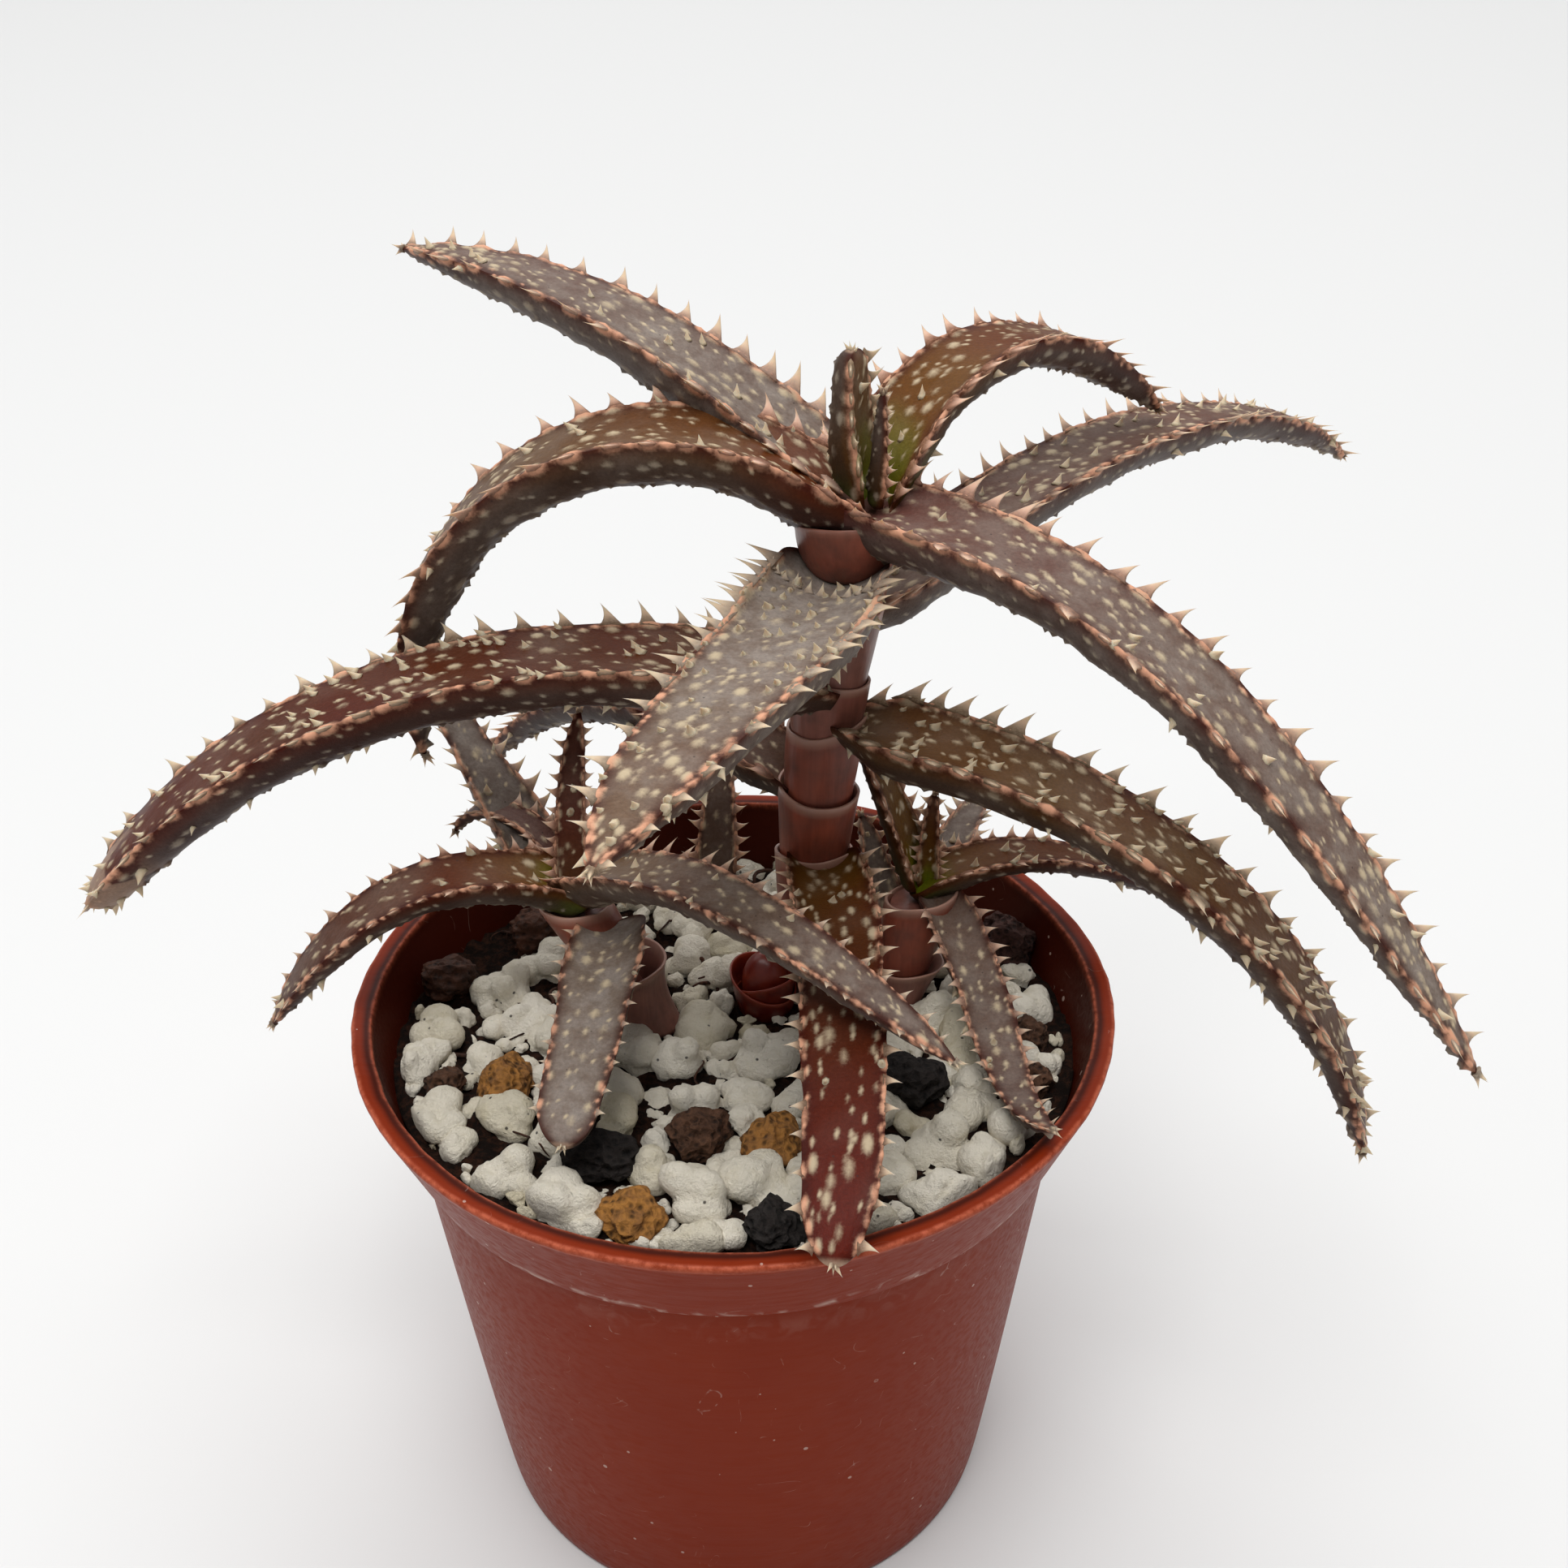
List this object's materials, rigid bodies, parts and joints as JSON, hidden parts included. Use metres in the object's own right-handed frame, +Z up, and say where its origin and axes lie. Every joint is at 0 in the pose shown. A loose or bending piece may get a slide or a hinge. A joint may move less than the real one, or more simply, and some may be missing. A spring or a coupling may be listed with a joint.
{
  "type": "potted aloe hybrid",
  "caption": "Spotted, spiny aloe hybrid on a short sheathed stem with offsets at its foot, in a small round terracotta plastic nursery pot topped with perlite and lava grit.",
  "frame": {"origin": "centre of the pot's flat foot, on the surface that it stands on", "axes": "+Z up along the pot's axis, -Y towards the side that the picture shows, +X to that side's right"},
  "size_m": [0.1165, 0.094, 0.1083],
  "materials": {
    "terracotta_plastic": "satin moulded plastic",
    "potting_soil": "dark moist peat and bark",
    "perlite": "white rounded expanded perlite",
    "ochre_pumice": "porous ochre pumice",
    "brown_lava": "porous brown lava",
    "black_lava": "porous black lava",
    "red_lava": "porous red-brown lava",
    "bark": "dark pine bark",
    "sheathed_stem": "satin red-brown leaf sheaths",
    "green_brown_leaf_skin": "waxy green-brown with cream spots",
    "bloomed_leaf_skin": "waxy grey-brown with a pale bloom and cream spots",
    "red_brown_leaf_skin": "waxy dark red-brown with cream spots",
    "red_bud_skin": "satin red fleshy bud"
  },
  "bodies": {
    "root": {"pot": "terracotta_plastic", "soil": "potting_soil", "perlite": "perlite", "pumice_left": "ochre_pumice", "pumice_middle": "ochre_pumice", "pumice_front": "ochre_pumice", "lava_brown_left": "brown_lava", "lava_brown_middle": "brown_lava", "lava_brown_right": "brown_lava", "lava_brown_far_right": "brown_lava", "lava_black_front": "black_lava", "lava_black_left": "black_lava", "lava_black_right": "black_lava", "lava_red_back": "red_lava", "bark_left": "bark", "bark_back": "bark", "main_stem": "sheathed_stem", "left_stem": "sheathed_stem", "right_stem": "sheathed_stem", "rear_stem": "sheathed_stem", "left_pup_foot_sheath": "sheathed_stem", "right_pup_foot_sheath": "sheathed_stem", "heart_leaf_tall": "green_brown_leaf_skin", "heart_leaf_small": "green_brown_leaf_skin", "leaf_upper_right": "green_brown_leaf_skin", "leaf_left_arch": "green_brown_leaf_skin", "leaf_upper_left": "bloomed_leaf_skin", "leaf_big_right": "bloomed_leaf_skin", "leaf_front": "bloomed_leaf_skin", "leaf_back_right": "bloomed_leaf_skin", "leaf_long_left": "red_brown_leaf_skin", "leaf_right": "red_brown_leaf_skin", "leaf_back_left": "red_brown_leaf_skin", "leaf_over_rim": "red_brown_leaf_skin", "left_pup_heart_leaf": "green_brown_leaf_skin", "left_pup_leaf_left": "red_brown_leaf_skin", "left_pup_leaf_right": "bloomed_leaf_skin", "left_pup_leaf_back": "bloomed_leaf_skin", "left_pup_leaf_small": "bloomed_leaf_skin", "left_pup_leaf_front": "bloomed_leaf_skin", "right_pup_heart_leaf": "green_brown_leaf_skin", "right_pup_leaf_left": "red_brown_leaf_skin", "right_pup_leaf_right": "red_brown_leaf_skin", "right_pup_leaf_back": "bloomed_leaf_skin", "right_pup_leaf_small": "bloomed_leaf_skin", "right_pup_leaf_front": "bloomed_leaf_skin", "rear_pup_leaf": "bloomed_leaf_skin", "red_shoot": "red_bud_skin"}
  },
  "joints": []
}
